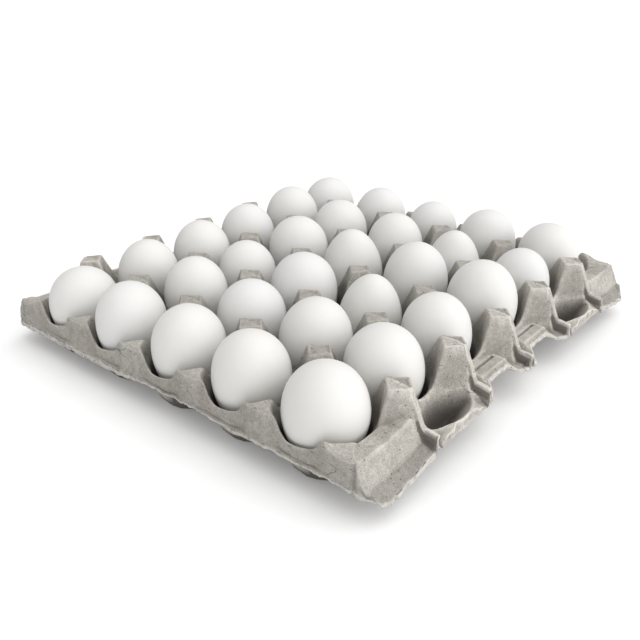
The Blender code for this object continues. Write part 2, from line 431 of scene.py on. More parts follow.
# Profiles across a strip: distance out, and height or, for the panel, fall.
panel_profile = rounded_profile(((0.0, 0.0), (10.0, 0.0), (16.0, -11.5), (24.5, -15.0)), 0.45)
bar_profile = rounded_profile(
    ((0.0, 25.3), (6.2, 25.2), (11.8, 24.8), (12.9, 23.5), (16.5, 21.6), (24.5, 19.5)), 0.35)
# The panel's fold line: distance from its rib, and height.
panel_crease = rounded_profile(((-1.0, 32.5), (0.0, 32.5), (12.0, 29.6), (24.0, 28.7), (49.0, 29.8)), 2.0)
PANEL_DROOP = 4.2
DROOP_ALONG, DROOP_OUT = (10.0, 45.0), (12.0, 24.0)
MOUTH_REACH, MOUTH_RADIUS, MOUTH_HALF_WIDTH = 22.3, 26.0, 18.8
MOUTH_CORNER, MOUTH_LIP, SCOOP_CORNER = 4.0, 0.5, 1.5       # how far these edges are rounded
MOUTH_WALL, SCOOP_SLOPE = 3.5, 1.15
LEDGE, LEDGE_SLOPE, LEDGE_DROP = 23.5, 0.5, 1.2
LEDGE_ENDS = (9.0, 19.0)
POCKET_FLOOR, POCKET_CORNER = 8.0, 2.0
SLOT_AT, SLOT_WIDTH, SLOT_LENGTH, SLOT_DEPTH = 5.5, 1.5, 20.0, 4.5
BAR_LENGTH = 27.0
NOTCH_FLOOR = 19.4


def panel_fill(out, from_rib):
    """Corner panel: a flat top, a steep face and a gentle lip that droops to the corner."""
    droop = PANEL_DROOP * fade(from_rib, *DROOP_ALONG) * fade(out, *DROOP_OUT)
    return panel_crease(from_rib) + panel_profile(out) - droop


def half_cup_fill(out, across):
    """A ledge round the mouth of a half cup, which slopes in like a scoop between steep sides."""
    beyond_rim = out - MOUTH_REACH + across ** 2 / (2 * MOUTH_RADIUS)
    beyond = smooth_max(beyond_rim, np.abs(across) - MOUTH_HALF_WIDTH, MOUTH_CORNER)
    inside = smooth_max(beyond * MOUTH_WALL, beyond_rim * SCOOP_SLOPE, SCOOP_CORNER)
    ledge = LEDGE - LEDGE_SLOPE * np.maximum(beyond_rim, 0) - LEDGE_DROP * fade(np.abs(across), *LEDGE_ENDS)
    return smooth_max(ledge + smooth_min(0.0, inside, MOUTH_LIP), POCKET_FLOOR, POCKET_CORNER)


def notch_fill(out, across):
    """The bar and the slot beside it, above the floor next to the ribs."""
    slot = fade(np.abs(out - SLOT_AT), SLOT_WIDTH / 2 + 0.15, SLOT_WIDTH / 2 - 0.35)
    slot *= fade(np.abs(across), SLOT_LENGTH / 2 + 0.6, SLOT_LENGTH / 2 - 0.6)
    bar = bar_profile(out) - SLOT_DEPTH * slot
    return mix(NOTCH_FLOOR, bar, fade(np.abs(across), BAR_LENGTH / 2 + 2.0, BAR_LENGTH / 2 - 1.2))


# %% The ribs, and a whole strip
rib_crest = rounded_profile(((0.0, 45.0), (6.8, 44.4), (14.5, 26.2), (21.3, 25.2), (25.0, 24.6)), 0.7)
RIB_HALF, RIB_SIDE = 1.3, 0.6                   # half a rib's thickness, and the run of its side
RIB_FROM = (5.0, 8.0)                           # a rib begins between these distances out
WALL_BY_RIB = np.array([8.0, 5.2, 6.2])         # how far a rib stands above each kind of filling
WALL_FROM = (8.0, 13.0)
ROOF_EDGE, FACE_EDGE, FACE_FOOT = 0.7, 0.8, 1.0         # how far these edges are rounded


def strip_height(row, across, out, cup, x, y):
    """The filling of a side strip, the faces of its posts and the ribs between its rows."""
    kind = STRIP_KINDS[row]
    from_rib = np.where(row == 0, HALF - across, HALF + across)
    fill = np.select([kind == PANEL, kind == HALF_CUP, kind == NOTCH],
                     [panel_fill(out, from_rib), half_cup_fill(out, across), notch_fill(out, across)])
    crest = rib_crest(out)
    limit = crest - WALL_BY_RIB[kind] * fade(out, *WALL_FROM)
    face = smooth_min(smooth_min(cup, roof(x, y), ROOF_EDGE), limit, FACE_EDGE)
    height = smooth_max(face, fill, FACE_FOOT)
    by_end = (kind == PANEL) & (from_rib > HALF)
    rib = fade(np.abs(across), HALF - RIB_HALF - RIB_SIDE, HALF - RIB_HALF) * ~by_end
    return mix(height, np.maximum(crest, height), rib * fade(out, *RIB_FROM))


# %% The whole upper surface
END_ROOF_EDGE = 3.6             # the end posts are rounder at the top
INNER_RISE = 0.8                # the posts between the eggs are a little taller
FAR_RISE = 1.3                  # and so are the posts along the -x side
RISE_EDGE = (6.0, 10.0)
FAR_REACH = (18.0, 10.0)
WARP_AT, WARP_REACH, WARP_RISE = (126.0, -47.6), (22.0, 10.0), 2.6      # one post has warped upwards
POST_FOOT = (12.0, 24.0)        # the rise fades out down in the cups, between these heights


def lift(x, y):
    """How much higher than its rule the pulp has dried."""
    inner = fade(np.abs(x), STRIP_START - RISE_EDGE[0], STRIP_START - RISE_EDGE[1])
    inner = inner * fade(np.abs(y), END_ROOF_FROM - RISE_EDGE[0], END_ROOF_FROM - RISE_EDGE[1])
    far = fade(np.abs(x + STRIP_START), *FAR_REACH)
    away_x = (x - WARP_AT[0]) / WARP_REACH[0]
    away_y = (y - WARP_AT[1]) / WARP_REACH[1]
    return INNER_RISE * inner + FAR_RISE * far + WARP_RISE * np.exp(-away_x ** 2 / 2 - away_y ** 2 / 2)


def pulp_top(x, y):
    """Height of the upper side of the pulp anywhere on the tray, in mm."""
    row, across, out = place_in_tray(x, y)
    cup = cup_height(x, y, across, out)
    edge = mix(ROOF_EDGE, END_ROOF_EDGE, fade(np.abs(y), END_ROOF_FROM, END_ROOF_FROM + 3.0))
    inner = smooth_min(cup, roof(x, y), edge)
    strip = strip_height(row, across, out, cup, x, y)
    return np.where(out > 0, strip, inner) + lift(x, y) * fade(cup, *POST_FOOT)


saddle, post = pulp_top(np.array([HALF, HALF]), np.array([HALF, 0.0]))
print(f"saddle {saddle:.1f} mm, post {post:.1f} mm")

# %% [markdown]
# ## Meshing the rule
#
# An even grid would need millions of faces to follow the steep posts. Here the
# surface is cut into slices instead. Each slice is sampled finely, and only the
# points that its corners need are kept, with a longest step between them. Then
# neighbouring slices are zipped together with triangles, always taking the
# shorter diagonal. The slices are bent in plan to follow the notches, the
# rounded corners and the slightly wandering cut edge.

# %% The plan of the tray
EDGE_X = END - 1.4              # the upper surface ends here, and the outer wall begins
EDGE_Y = END - 1.8
PLAN_CORNER = 10.5
NOTCH_EDGE, NOTCH_FROM = 14.3, 12.0
FLARE_FROM, FLARE_TO = 10.0, 21.5
RECESS = 1.3                    # the end wall stands in beside each half post
RECESS_SIDES = ((4.0, 9.5), (19.5, 12.0))
RECESS_FADE = 9.0
GROOVE_AT, GROOVE_WIDTH, GROOVE_DEPTH = 128.6, 2.6, 1.3
GROOVE_MIDDLE = 0.2
CUT_WAVES, CUT_WAVE_MEAN, CUT_WAVE_DEPTH = (9.0, 31), 0.8, 0.35     # the wandering of the cut edge


def waves(distance, size, seed, height=1.0):
    """Smooth random values along a line, about one change for each size."""
    random = np.random.default_rng(seed)
    total = np.zeros_like(distance)
    for _ in range(9):
        total += np.sin(distance / size * random.uniform(2.5, 9.0) + random.uniform(0, 2 * math.pi))
    return height * (total / 3)


def notch_reach(across):
    """How far out a finger notch reaches, across its row."""
    share = np.clip((np.abs(across) - FLARE_FROM) / (FLARE_TO - FLARE_FROM), 0.0, 1.0)
    return NOTCH_EDGE + (EDGE_X - STRIP_START - NOTCH_EDGE) * np.sin(share * math.pi / 2)


def end_recess(x):
    """How far the end wall stands in: beside the half posts and in a corner groove."""
    beside = np.abs(past_post(x))
    near, far = RECESS_SIDES
    recess = RECESS * fade(beside, *near) * fade(beside, *far) * (np.abs(x) < STRIP_START)
    return recess + GROOVE_DEPTH * fade(np.abs(np.abs(x) - GROOVE_AT), GROOVE_WIDTH, GROOVE_MIDDLE)


def bend_plan(x, y, inset, recess):
    """Moves points inwards at the notches, the plan's corners and, if asked, the recesses."""
    row, across, out = place_in_tray(x, y)
    full = EDGE_X - inset - STRIP_START
    share = np.clip((out - NOTCH_FROM) / (full - NOTCH_FROM), 0.0, 1.0)
    reach = NOTCH_FROM + share * (notch_reach(across) - inset - NOTCH_FROM)
    in_notch = (STRIP_KINDS[row] == NOTCH) & (out > NOTCH_FROM)
    bent = np.where(in_notch, STRIP_START + reach, np.abs(x))
    wave = waves(y + np.sign(x) * END, *CUT_WAVES)
    bent = bent - share * CUT_WAVE_DEPTH * np.maximum(CUT_WAVE_MEAN + wave, 0.0)
    near_end = np.clip((np.abs(y) - EDGE_Y + inset + RECESS_FADE) / RECESS_FADE, 0.0, 1.0)
    deep = np.abs(y) - near_end * end_recess(x) * recess
    past_x = np.maximum(bent - (EDGE_X - PLAN_CORNER), 0)
    past_y = np.maximum(deep - (EDGE_Y - PLAN_CORNER), 0)
    length = np.maximum(np.hypot(past_x, past_y), 1e-9)
    scale = np.where((past_x > 0) & (past_y > 0), np.maximum(past_x, past_y) / length, 1.0)
    bent = bent - past_x + past_x * scale
    return np.copysign(bent, x), np.copysign(deep - past_y + past_y * scale, y)


# %% Where the slices lie
CUP_SLICES = (0, 2.5, 5, 7.5, 10, 12, 13.5, 15, 16.2, 17.4, 18.4, 19.3, 20.1, 20.8, 21.4, 22, 22.5,
              22.9, 23.3)       # distance from the cup's axis
STRIP_SLICES = 34
LONGEST_AT_EDGE = 1.5


def slice_places(coarse, inset):
    """The x of every slice: crowded where cups rise, and even in the strips."""
    offsets = np.array(CUP_SLICES)[::2] if coarse else np.array(CUP_SLICES)
    half_row = np.concatenate([-offsets[:0:-1], offsets])
    inner = [column * PITCH + half_row for column in range(-2, 3)]
    inner.append((np.arange(6) - 2.5) * PITCH)
    width = EDGE_X - inset - STRIP_START
    steps = STRIP_SLICES // 2 if coarse else STRIP_SLICES
    strip = STRIP_START + width * np.arange(1, steps + 1) / steps
    return np.unique(np.round(np.concatenate(inner + [strip, -strip]), 4))


def key_points(y, z, tolerance, longest):
    """Indices that keep the corners of a slice and leave no step over longest."""
    keep = {0, len(y) - 1}
    spans = [(0, len(y) - 1)]
    while spans:
        start, end = spans.pop()
        if end - start < 2:
            continue
        run, rise = y[end] - y[start], z[end] - z[start]
        miss = np.abs((z[start + 1:end] - z[start]) * run - (y[start + 1:end] - y[start]) * rise)
        worst = int(miss.argmax())
        if miss[worst] / math.hypot(run, rise) > tolerance:
            middle = start + 1 + worst
        elif run > longest:
            middle = (start + end) // 2
        else:
            continue
        keep.add(middle)
        spans += [(start, middle), (middle, end)]
    return sorted(keep)


def slices(height, inset, coarse, tolerance, longest, step):
    """Lists of points, one for each slice, from front to back.

    A slice is sampled at every step, and a point is kept where leaving it out would miss
    the height by more than tolerance, or where the points would be further apart than longest.
    """
    limit = EDGE_Y - inset
    y = np.linspace(-limit, limit, int(2 * limit / step) + 1)
    made = []
    for x in slice_places(coarse, inset):
        column = np.full_like(y, x)
        z = height(*bend_plan(column, y, inset, False))
        bent_x, bent_y = bend_plan(column, y, inset, True)
        last = abs(x) > EDGE_X - inset - 1e-3
        keep = key_points(y, z, tolerance, min(longest, LONGEST_AT_EDGE) if last else longest)
        made.append(np.column_stack([bent_x, bent_y, z])[keep])
    return made


# %% The underside
RINGS = ((0.55, 8), (1.0, 12))          # share of the pulp's thickness, and directions looked in
UNDER_INSET = 1.7


def pulp_under(x, y):
    """Underside: as low as the upper side let down by the pulp in every direction."""
    lowest = pulp_top(x, y) - PULP
    for reach, count in RINGS:
        drop = PULP * math.sqrt(1 - reach ** 2)
        for step in range(count):
            angle = 2 * math.pi * step / count
            near = pulp_top(x + reach * PULP * math.cos(angle), y + reach * PULP * math.sin(angle))
            lowest = np.minimum(lowest, near - drop)
    return np.maximum(lowest, 0.0)


top_slices = slices(pulp_top, 0.0, False, tolerance=0.07, longest=1.9, step=0.2)
under_slices = slices(pulp_under, UNDER_INSET, True, tolerance=0.2, longest=4.2, step=0.4)
print(len(top_slices), "slices above with", sum(map(len, top_slices)), "points,",
      len(under_slices), "below with", sum(map(len, under_slices)))

# %% [markdown]
# ## The outer wall
#
# Round the edge the pulp turns down. Along the ends it has a fold and a thin
# lip, left by the mould, with a torn edge. The wall is built as rings of points
# that hang from the outline: each ring says how far it stands out and how
# high it is. At the bottom the rings turn round the torn edge and climb up
# inside to the underside. The rings of the torn edge are marked, because torn
# pulp is paler and hairy.

# %% The lower edge of the outer wall
STRIP_EDGE, CORNER_EDGE, RIB_EDGE = 17.3, 13.3, 17.2
CORNER_CUT = 2.7                # height of the wall round the corner panels
# The torn lower edge along an end: distance along it, and height above the table.
TORN_EDGE = ((-143, 12.0), (-60, 12.2), (-27, 13.0), (-17, 15.2), (5, 16.2), (35, 15.8), (60, 14.0),
             (80, 15.0), (115, 15.2), (143, 13.2))


def round_edge(rows):
    """What lies round the edge of a set of slices, points or their numbers, as one loop."""
    back = [row[-1] for row in rows[1:-1]]
    front = [row[0] for row in rows[-2:0:-1]]
    return [*rows[0], *back, *rows[-1][::-1], *front]


def smooth_round(values, reach):
    """A running mean of values along a closed loop."""
    return blurred(np.pad(values, reach, mode="wrap"), reach)


def lower_edge(x, y, top, on_end):
    """Height of the wall's torn lower edge under each point of the outline."""
    row, across, out = place_in_tray(x, y)
    kind = np.where(out > 0, STRIP_KINDS[row], -1)
    thin = top - np.where(kind == PANEL, CORNER_CUT, PULP)
    low = np.select([kind == PANEL, kind == HALF_CUP],
                    [np.minimum(thin, CORNER_EDGE), np.full_like(top, STRIP_EDGE)], thin)
    on_rib = (np.abs(x) > EDGE_X - 0.5) & (np.abs(across) > HALF - 2.0) & (np.abs(y) < EDGE_Y - HALF)
    low = np.where(on_rib, RIB_EDGE, low)
    along_end = np.interp(-x * np.sign(y), *np.array(TORN_EDGE).T)
    return np.minimum(mix(smooth_round(low, 2), along_end, on_end), top - PULP + 0.2)


# %% Rings of the outer wall
FOLD = 17.6                     # height of the fold along the ends
FOLD_ABOVE_EDGE = 1.7
WALL_OUT = 0.75                 # how far the wall stands out of the upper surface's edge
FOLD_IN, LIP_OUT = -0.4, 1.25   # the fold stands in from it, and the thin lip below stands out
LIP_BEFORE, LIP_PAST = (-9.0, -12.0), (3.0, 17.0)       # the lip shows on both sides of a half post
LIP_PAST_SHARE, LIP_LEAST = 0.75, 0.12
SIDE_END = 14.0                 # the ends reach round the corners to this far out in the strips
# Random waves along the wall: size, seed and height.
END_WAVES, TEAR_WAVES, FOLD_WAVES = (9.0, 3, 0.40), (2.6, 5, 0.22), (30.0, 8, 0.35)
LIP_WAVES, ROUGH_WAVES = (16.0, 21, 0.25), (2.5, 11, 0.12)
LEAST_WALL, LEAST_TO_FOLD = 1.4, 2.5            # the wall and its upper part are at least this high


def wall_rings(loop):
    """Rings of points from the outline round the torn edge and up inside, and how torn each is."""
    x, y, top = loop.T
    ahead = np.roll(loop[:, :2], -2, axis=0) - np.roll(loop[:, :2], 2, axis=0)
    normal = np.column_stack([-ahead[:, 1], ahead[:, 0]])
    normal /= np.linalg.norm(normal, axis=1)[:, None]
    travel = np.cumsum(np.linalg.norm(loop[:, :2] - np.roll(loop[:, :2], 1, axis=0), axis=1))
    side = np.abs(x) - STRIP_START
    by_end = (np.abs(y) > EDGE_Y - RECESS - 1.5) * fade(side, EDGE_X - STRIP_START - 1.0, SIDE_END)
    on_end = smooth_round(by_end, 3)
    recess = smooth_round(end_recess(x) * on_end, 2)
    low = lower_edge(x, y, top, on_end)
    low = low + waves(travel, *END_WAVES) * on_end + waves(travel, *TEAR_WAVES)
    low = np.minimum(low, top - LEAST_WALL)
    fold = np.maximum(FOLD, low + FOLD_ABOVE_EDGE) + waves(travel, *FOLD_WAVES)
    fold = np.minimum(fold, top - LEAST_TO_FOLD)
    beside = -past_post(x) * np.sign(y)
    lip = np.maximum(fade(beside, *LIP_BEFORE), LIP_PAST_SHARE * fade(beside, *LIP_PAST))
    lip = np.clip(lip + waves(travel, *LIP_WAVES), LIP_LEAST, 1.0)
    fold_in = mix(WALL_OUT, FOLD_IN, lip)
    lip_out = mix(WALL_OUT + 0.2, LIP_OUT, lip)
    rough = waves(travel, *ROUGH_WAVES)
    span = top - low

    def ring(stand_plain, height_plain, stand_fold, height_fold, fill=0.0):
        """One ring: how far out and how high it is in plain places, and the same at the ends."""
        stand = mix(stand_plain, stand_fold + fill * recess, on_end)
        height = mix(height_plain, height_fold, on_end)
        spots = loop[:, :2] + normal * np.reshape(stand, (-1, 1))
        return np.column_stack([spots, np.broadcast_to(height, top.shape)])

    upper = top - 0.9 * np.minimum(span / 3, 1)
    wall = [
        ring(0.40, top - 0.14, 0.40, top - 0.14),
        ring(0.66, top - 0.50, 0.66, top - 0.50),
        ring(WALL_OUT, upper, WALL_OUT, mix(top, fold, 0.25)),
        ring(WALL_OUT, top - 0.35 * span, WALL_OUT, mix(top, fold, 0.6)),
        ring(WALL_OUT + 0.1, top - 0.5 * span, WALL_OUT - 0.1, fold + 1.1, 0.3),
        ring(WALL_OUT + 0.15, top - 0.6 * span, fold_in, fold, 0.6),
        ring(WALL_OUT + 0.2, top - 0.7 * span, mix(fold_in, lip_out, 0.8), mix(fold, low, 0.22), 1.0),
    ]
    torn = [
        ring(WALL_OUT + 0.2 + rough, top - 0.8 * span, lip_out + rough, mix(fold, low, 0.5), 1.0),
        ring(WALL_OUT + 0.1 + rough, low + 0.35, lip_out + rough, low + 0.45, 1.0),
        ring(0.3 + rough, low, lip_out - 0.7 + rough, low, 1.0),
        ring(-0.6, low + 0.15, lip_out - 1.5, low + 0.3, 0.7),
    ]
    inside = [ring(-1.1, np.minimum(low + 0.9, top - PULP + 0.3), -0.6, mix(fold, low, 0.5))]
    half_cup = STRIP_KINDS[place_in_tray(x, y)[0]] == HALF_CUP
    cut = 1.0 - smooth_round(np.maximum(on_end > 0.02, half_cup) * 1.0, 3)
    marks = [cut * (0.5 + 0.5 * (number > 0)) for number in range(len(wall))]
    return wall + torn + inside, marks + [np.ones_like(top)] * len(torn)


# %% Zip slices and rings into one shell
SLICE_FLATNESS = 0.35           # share of the height that counts when slices are zipped
MERGE = 0.02                    # points this close become one


def zip_rows(first, second, points, closed):
    """Triangles between two rows of point numbers, by the shorter diagonal."""
    if closed:
        first, second = first + first[:1], second + second[:1]
    i = j = 0
    made = []
    while i < len(first) - 1 or j < len(second) - 1:
        if i == len(first) - 1 or j == len(second) - 1:
            go_first = i < len(first) - 1
        else:
            to_first = math.dist(points[first[i + 1]], points[second[j]])
            to_second = math.dist(points[first[i]], points[second[j + 1]])
            go_first = to_first < to_second
        made.append((first[i], second[j], first[i + 1] if go_first else second[j + 1]))
        i, j = (i + 1, j) if go_first else (i, j + 1)
    return made


def numbered(groups):
    """Point numbers for each group, counted through."""
    ends = np.cumsum([len(group) for group in groups]).tolist()
    return [list(range(end - len(group), end)) for group, end in zip(groups, ends)]


def turned_to(loop, points, target):
    """The loop, started at the point nearest the target."""
    nearest = min(range(len(loop)), key=lambda index: math.dist(points[loop[index]], target))
    return loop[nearest:] + loop[:nearest]


def shell_faces(points, top_numbers, ring_numbers, under_numbers):
    """The triangles of the upper side, the underside and the wall between them.

    Between slices the heights are flattened, so that no long triangle jumps across a cup.
    """
    spots = [tuple(point) for point in points]
    flat = [tuple(point) for point in points * (1.0, 1.0, SLICE_FLATNESS)]
    faces = []
    for first, second in zip(top_numbers, top_numbers[1:]):
        faces += zip_rows(first, second, flat, False)
    for first, second in zip(under_numbers, under_numbers[1:]):
        faces += [face[::-1] for face in zip_rows(first, second, flat, False)]
    upper = round_edge(top_numbers)
    for lower in ring_numbers:
        for index in range(len(upper)):
            after = (index + 1) % len(upper)
            faces.append((upper[index], upper[after], lower[after]))
            faces.append((upper[index], lower[after], lower[index]))
        upper = lower
    inner = turned_to(round_edge(under_numbers), spots, spots[upper[0]])
    return faces + zip_rows(upper, inner, spots, True)


def build_tray():
    """The shell of the tray with its torn edge marked, before it has any dents."""
    rings, torn = wall_rings(np.array(round_edge(top_slices)))
    groups = top_slices + rings + under_slices
    points = np.concatenate(groups)
    numbers = numbered(groups)
    ring_numbers = numbers[len(top_slices):-len(under_slices)]
    faces = shell_faces(points, numbers[:len(top_slices)], ring_numbers, numbers[-len(under_slices):])
    mesh = bpy.data.meshes.new("plain_tray")
    mesh.from_pydata((points * MM).tolist(), [], faces)
    marks = np.zeros(len(points), dtype=np.float32)
    for numbers, values in zip(ring_numbers, torn):
        marks[numbers] = values
    mesh.attributes.new("torn", "FLOAT", "POINT").data.foreach_set("value", marks)
    shape = bmesh.new()
    shape.from_mesh(mesh)
    bmesh.ops.remove_doubles(shape, verts=shape.verts, dist=MERGE * MM)
    bmesh.ops.recalc_face_normals(shape, faces=shape.faces)
    open_edges = sum(1 for edge in shape.edges if len(edge.link_faces) != 2)
    shape.to_mesh(mesh)
    shape.free()
    mesh.shade_smooth()
    print("tray shell:", len(mesh.polygons), "faces,", open_edges, "edges without two faces")
    return add_object("plain_tray", mesh)


plain_tray = build_tray()

# %% [markdown]
# ## Shapes from node trees
#
# Geometry Nodes suit what repeats, and what is done to every point alike. A
# ShapeGraph is a Graph with named inputs that ends in Realize Instances and
# Set Material. The function grow runs one on an object and returns the result
# as a plain mesh of its own, so that nothing is left to be worked out later.

# %% Geometry Nodes helpers
class ShapeGraph(Graph):
    """A Geometry Nodes tree with named inputs."""

    def __init__(self, name, inputs):
        super().__init__(bpy.data.node_groups.new(name, "GeometryNodeTree"))
        sockets = self.tree.interface
        sockets.new_socket("Geometry", in_out="INPUT", socket_type="NodeSocketGeometry")
        for label, value in inputs.items():
            kind = "NodeSocketVector" if isinstance(value, tuple) else "NodeSocketFloat"
            sockets.new_socket(label, in_out="INPUT", socket_type=kind).default_value = value
        sockets.new_socket("Material", in_out="INPUT", socket_type="NodeSocketMaterial")
        sockets.new_socket("Geometry", in_out="OUTPUT", socket_type="NodeSocketGeometry")
        self.inputs = self.tree.nodes.new("NodeGroupInput")

    def given(self, label):
        """The value of one of the tree's inputs."""
        return Socket(self, find(self.inputs.outputs, label))

    def vector(self, **parts):
        """A vector of its parts X, Y and Z."""
        return self.node("ShaderNodeCombineXYZ", None, parts)

    def scaled(self, vector, amount):
        return self.node("ShaderNodeVectorMath", {"operation": "SCALE"}, {"Vector": vector, "Scale": amount})

    def read(self, name, kind="FLOAT"):
        """An attribute of the geometry."""
        return self.node("GeometryNodeInputNamedAttribute", {"data_type": kind}, {"Name": name})

    def lumps(self, amount, size):
        """Noise in space; two inputs give its height above and below 0 and the size of its lumps."""
        scale = self.maths("DIVIDE", 1.0, self.given(size))
        noise = self.node("ShaderNodeTexNoise", None, {"Scale": scale, "Detail": 1.0})
        return (noise - 0.5) * self.given(amount)

    def moved(self, geometry, **change):
        """The geometry with every point at a new Position, or moved by an Offset."""
        return self.node("GeometryNodeSetPosition", None, {"Geometry": geometry, **change})

    def held(self, place):
        """A place, moved inside the box of the inputs Lowest and Highest."""
        raised = self.maths("MAXIMUM", place, self.given("Lowest"))
        return self.maths("MINIMUM", raised, self.given("Highest"))

    def finish(self, geometry):
        """Ends the tree in Realize Instances, smooth shading and Set Material."""
        real = self.node("GeometryNodeRealizeInstances", None, {"Geometry": geometry})
        smooth = self.node("GeometryNodeSetShadeSmooth", None, {"Geometry": real})
        shown = self.node("GeometryNodeSetMaterial", None,
                          {"Geometry": smooth, "Material": self.given("Material")})
        self.node("NodeGroupOutput", None, {"Geometry": shown})


def grow(holder, graph, material, name):
    """Runs a tree on an object and returns the result as a new plain mesh."""
    modifier = holder.modifiers.new(graph.tree.name, "NODES")
    modifier.node_group = graph.tree
    for item in graph.tree.interface.items_tree:
        if item.in_out == "INPUT" and item.name == "Material":
            modifier[item.identifier] = material
    mesh = bpy.data.meshes.new_from_object(holder.evaluated_get(bpy.context.evaluated_depsgraph_get()))
    holder.modifiers.remove(modifier)
    mesh.name = name
    print(name + ":", len(mesh.polygons), "faces")
    return add_object(name, mesh)


# %% [markdown]
# ## The finish of grey pulp
#
# Grey pulp is old newspaper: pale and dark fibres, matted together, with specks
# of ink and flakes that did not break up. It is mottled at every size, from
# clouds as wide as a finger to grains that you only feel. It could be painted,
# but noise of several sizes in the object's own space has no seams and never
# repeats. Four things depend on the shape, so the mesh carries a number for
# each: crests get a painted highlight and hollows a painted shade, torn edges
# show clean pale fibres, painted shade darkens deep places, low places and faces
# that the light misses, and it darkens the thin sides of the ribs as well.

# %% Grey pulp
GRAIN, MOTTLE, CLOUD = 0.55, 2.6, 17.0          # sizes of the pattern in mm
PULP_DARK = (0.330, 0.313, 0.281, 1.0)
PULP_PALE = (0.800, 0.772, 0.720, 1.0)
PULP_PINK = (0.560, 0.500, 0.465, 1.0)
PULP_SPECK = (0.100, 0.095, 0.090, 1.0)
PULP_TORN = (0.780, 0.755, 0.715, 1.0)
# Colours of painted shade: deep and low places and faces that the light misses, then the sides of the ribs.
PULP_PAINTED_SHADE = (0.130, 0.120, 0.108, 1.0)
PULP_RIB_SHADE = (0.175, 0.158, 0.142, 1.0)
PLAIN_TONE, CLOUD_TONE, MOTTLE_TONE, GRAIN_TONE = 0.445, 0.6, 0.6, 1.35      # 0 is dark, 1 pale
# How far the tone rises on crests, as a painted highlight, and falls in hollows, as painted shade; then the
# pale fibre lines.
EDGE_SHADING_TONE, FIBRE_TONE = 0.75, 0.22
CRACK_SIZE, CRACK_SHARE = 13.0, 0.36
FIBRE_TURNS = ((0.3, 0.2, 0.5), (1.2, 0.7, 2.1), (0.5, 1.9, 1.2))
FIBRE_SCALE, FIBRE_LENGTH, FIBRE_LINE = (1.0, 9.0, 9.0), 4.0, 0.035
DASH_TURNS = ((0.4, 0.3, 0.9), (1.0, 0.2, 2.4))
DASH_SCALE, DASH_LENGTH, DASH_SHARE = (0.45, 1.9, 1.9), 4.0, 0.35


def attribute(graph, name):
    return graph.node("ShaderNodeAttribute", {"attribute_name": name}, output="Fac")


def highest_of_turns(graph, place, turns, scale, pattern):
    """A pattern that is drawn out in several directions: the highest value of all of them."""
    highest = None
    for turn in turns:
        drawn = graph.node("ShaderNodeMapping", None, {"Vector": place, "Rotation": turn, "Scale": scale})
        value = pattern(drawn)
        highest = value if highest is None else graph.maths("MAXIMUM", highest, value)
    return highest


def fibre_lines(graph, place):
    """Thin long lines, where drawn-out noise crosses its middle."""
    def lines(drawn):
        return graph.ease(abs(graph.noise(drawn, FIBRE_LENGTH, 1.0) - 0.5), FIBRE_LINE, 0.0)

    return highest_of_turns(graph, place, FIBRE_TURNS, FIBRE_SCALE, lines)


def specks(graph, place, size, share):
    """Small spots, one in some of the cells of a Voronoi pattern."""
    settings = {"Vector": place, "Scale": 1 / (size * MM)}
    distance = graph.node("ShaderNodeTexVoronoi", None, settings)
    cell = graph.node("ShaderNodeTexVoronoi", None, settings, "Color")
    chance = graph.node("ShaderNodeSeparateColor", None, {"Color": cell})
    return graph.ease(distance, 0.16, 0.07) * graph.ease(chance, 1 - share, 1 - share + 0.02)


def hairlines(graph, place, size, share):
    """A few dark hairline cracks: lines of one noise, kept where another is high."""
    line = graph.ease(abs(graph.noise(place, size, 0.0) - 0.5), 0.008, 0.002)
    return line * graph.ease(graph.noise(place, size * 1.3, 0.0), 1 - share, 1 - share + 0.04)


def dashes(graph, place):
    """Short dark marks, which are drawn-out specks."""
    def marks(drawn):
        return specks(graph, drawn, DASH_LENGTH, DASH_SHARE)

    return highest_of_turns(graph, place, DASH_TURNS, DASH_SCALE, marks)


